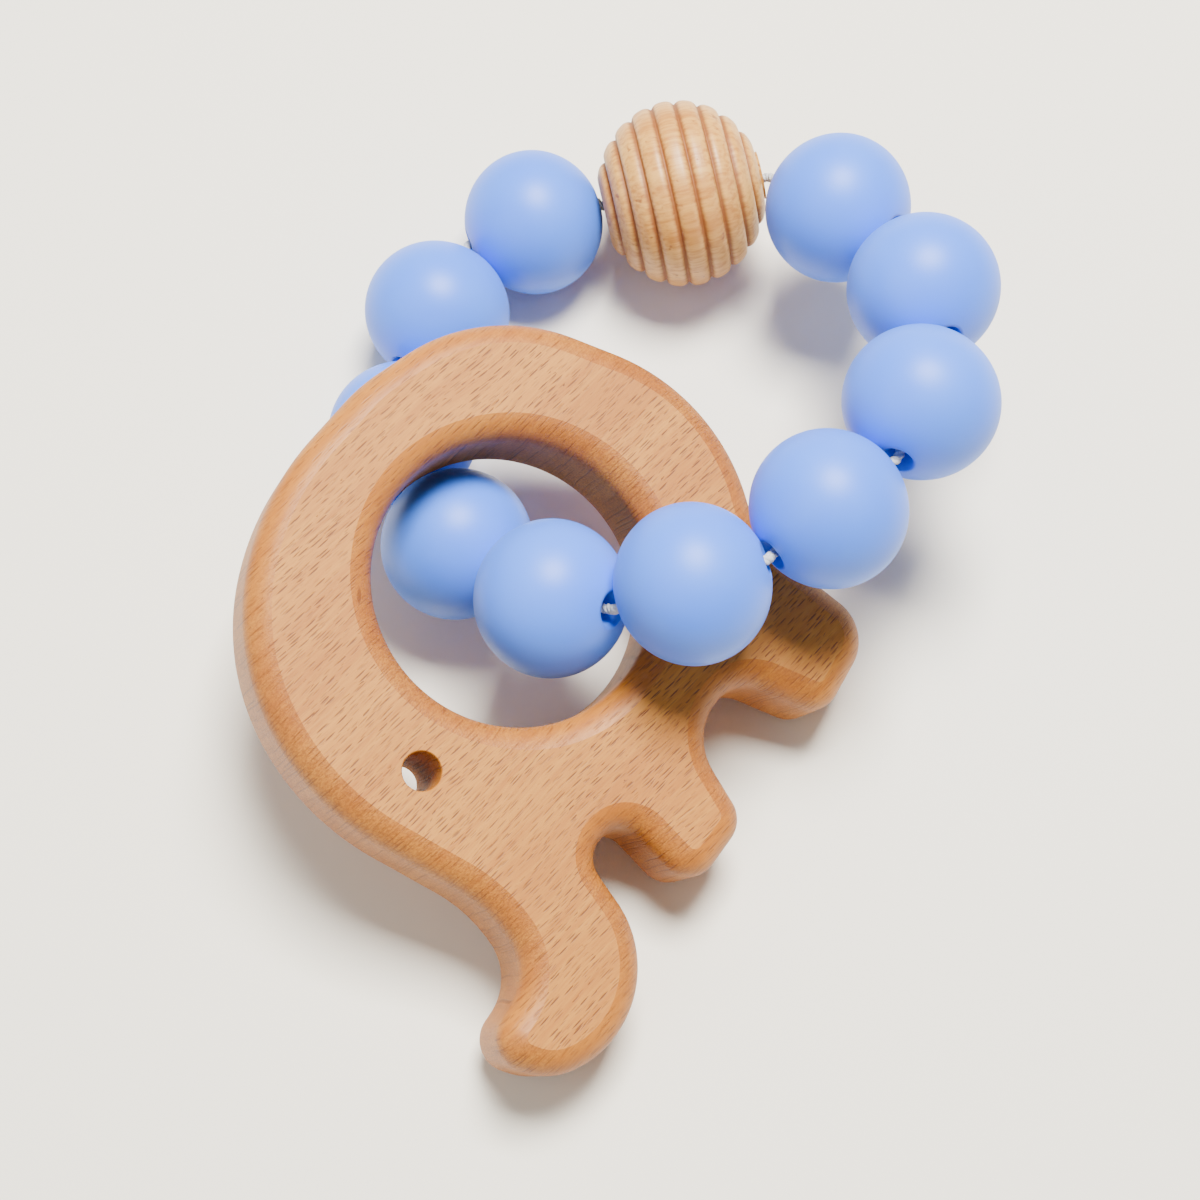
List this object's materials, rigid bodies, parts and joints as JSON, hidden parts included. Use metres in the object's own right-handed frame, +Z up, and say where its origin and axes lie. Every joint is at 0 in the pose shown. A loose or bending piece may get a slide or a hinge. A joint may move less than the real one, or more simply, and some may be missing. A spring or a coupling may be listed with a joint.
{
  "type": "teething ring",
  "caption": "Flat elephant-shaped wooden teether with a large round hole, and a closed cord of soft round beads and a grooved wooden bead threaded through the hole.",
  "frame": {"origin": "middle of the overall box on the table top", "axes": "+Z up from the table; +Y away from the viewer, from the trunk towards the wooden bead, along the longest extent; +X to the viewer's right"},
  "size_m": [0.0731, 0.1013, 0.0317],
  "materials": {
    "beech_plate": "smooth sanded light wood, unvarnished, browner at the rounded edges",
    "turned_wood": "turned light wood with a satin sheen, orange-brown in the grooves",
    "blue_silicone": "soft matt silicone",
    "cord_thread": "thin braided off-white thread"
  },
  "bodies": {
    "elephant": {"elephant_body": "beech_plate"},
    "strand": {"cord": "cord_thread", "knot": "cord_thread"},
    "wooden_bead": {"wooden_bead": "turned_wood"},
    "bead_1": {"silicone_bead_1": "blue_silicone"},
    "bead_2": {"silicone_bead_2": "blue_silicone"},
    "bead_3": {"silicone_bead_3": "blue_silicone"},
    "bead_4": {"silicone_bead_4": "blue_silicone"},
    "bead_5": {"silicone_bead_5": "blue_silicone"},
    "bead_6": {"silicone_bead_6": "blue_silicone"},
    "bead_7": {"silicone_bead_7": "blue_silicone"},
    "bead_8": {"silicone_bead_8": "blue_silicone"},
    "bead_9": {"silicone_bead_9": "blue_silicone"},
    "bead_10": {"silicone_bead_10": "blue_silicone"}
  },
  "joints": [
    {"name": "strand_swing", "type": "hinge", "parent": "elephant", "child": "strand", "pos_m": [-0.0045, -0.00033, 0.01306], "axis": [0.5429, -0.7798, -0.3116], "range_deg": [0, 42]},
    {"name": "wooden_bead_spin", "type": "hinge", "parent": "strand", "child": "wooden_bead", "pos_m": [0.00605, 0.0411, 0.00983], "axis": [-0.9743, -0.1894, -0.1219], "continuous": true},
    {"name": "bead_1_spin", "type": "hinge", "parent": "strand", "child": "bead_1", "pos_m": [-0.00939, 0.03907, 0.0075], "axis": [-0.9447, -0.3182, -0.0788], "continuous": true},
    {"name": "bead_2_spin", "type": "hinge", "parent": "strand", "child": "bead_2", "pos_m": [-0.01922, 0.02834, 0.0075], "axis": [-0.3948, -0.9186, 0.0181], "continuous": true},
    {"name": "bead_3_spin", "type": "hinge", "parent": "strand", "child": "bead_3", "pos_m": [-0.02225, 0.01412, 0.00801], "axis": [0.1021, -0.9897, 0.1007], "continuous": true},
    {"name": "bead_4_spin", "type": "hinge", "parent": "strand", "child": "bead_4", "pos_m": [-0.0164, 0.00099, 0.01029], "axis": [0.5427, -0.7734, 0.3276], "continuous": true},
    {"name": "bead_5_spin", "type": "hinge", "parent": "strand", "child": "bead_5", "pos_m": [-0.00697, -0.00765, 0.01723], "axis": [0.8019, -0.3541, 0.4812], "continuous": true},
    {"name": "bead_6_spin", "type": "hinge", "parent": "strand", "child": "bead_6", "pos_m": [0.00599, -0.0089, 0.02372], "axis": [0.9405, 0.2217, 0.2576], "continuous": true},
    {"name": "bead_7_spin", "type": "hinge", "parent": "strand", "child": "bead_7", "pos_m": [0.01858, -0.00163, 0.02423], "axis": [0.7604, 0.6494, -0.0044], "continuous": true},
    {"name": "bead_8_spin", "type": "hinge", "parent": "strand", "child": "bead_8", "pos_m": [0.02773, 0.00967, 0.02359], "axis": [0.3783, 0.9149, -0.1407], "continuous": true},
    {"name": "bead_9_spin", "type": "hinge", "parent": "strand", "child": "bead_9", "pos_m": [0.02909, 0.02378, 0.02032], "axis": [-0.2216, 0.9362, -0.2726], "continuous": true},
    {"name": "bead_10_spin", "type": "hinge", "parent": "strand", "child": "bead_10", "pos_m": [0.02161, 0.03552, 0.01607], "axis": [-0.7328, 0.5899, -0.3391], "continuous": true}
  ]
}
